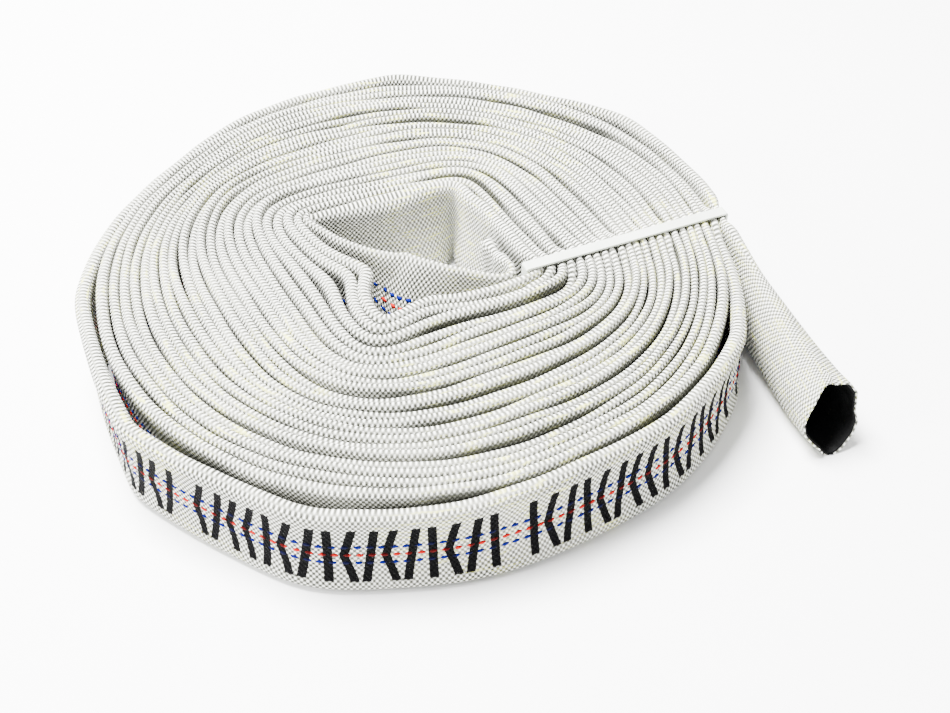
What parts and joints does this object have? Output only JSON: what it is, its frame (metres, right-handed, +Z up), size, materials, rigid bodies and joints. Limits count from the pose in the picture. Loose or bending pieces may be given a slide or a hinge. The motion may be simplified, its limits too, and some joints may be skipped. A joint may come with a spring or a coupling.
{
  "type": "rolled fire hose",
  "caption": "Woven layflat fire hose rolled on its edge around a hollow core, with one free round-mouthed end and a cable tie through the core.",
  "frame": {"origin": "axis of the roll, on the floor that the roll lies on", "axes": "+Z up along the roll's axis, -Y toward the side that the free end's mouth points to, +X toward the side where the hose leaves the roll"},
  "size_m": [0.487, 0.4232, 0.066],
  "materials": {
    "jacket": "woven white polyester, matt",
    "lining": "black rubber, satin",
    "tracer_blue": "blue tracer yarn",
    "tracer_red": "red tracer yarn",
    "tie": "natural translucent nylon"
  },
  "bodies": {
    "wound_roll": {"jacket_roll": "jacket", "lining_roll": "lining", "tracer_blue_upper_roll": "tracer_blue", "tracer_red_roll": "tracer_red", "tracer_blue_lower_roll": "tracer_blue", "tie_strap": "tie", "tie_head": "tie"},
    "free_end": {"jacket_free_end": "jacket", "lining_free_end": "lining", "tracer_blue_upper_free_end": "tracer_blue", "tracer_red_free_end": "tracer_red", "tracer_blue_lower_free_end": "tracer_blue"},
    "tie_pawl": {"tie_pawl": "tie"}
  },
  "joints": [
    {"name": "free_end_bend", "type": "hinge", "parent": "wound_roll", "child": "free_end", "pos_m": [0.20331, 0.03141, 0.032], "axis": [0, 0, 1], "range_deg": [-3, 25]},
    {"name": "tie_pawl_flex", "type": "hinge", "parent": "wound_roll", "child": "tie_pawl", "pos_m": [0.20662, 0.04504, 0.0307], "axis": [0.3939, -0.9191, 0], "range_deg": [0, 12], "stiffness_Nm_per_rad": 0.002}
  ]
}
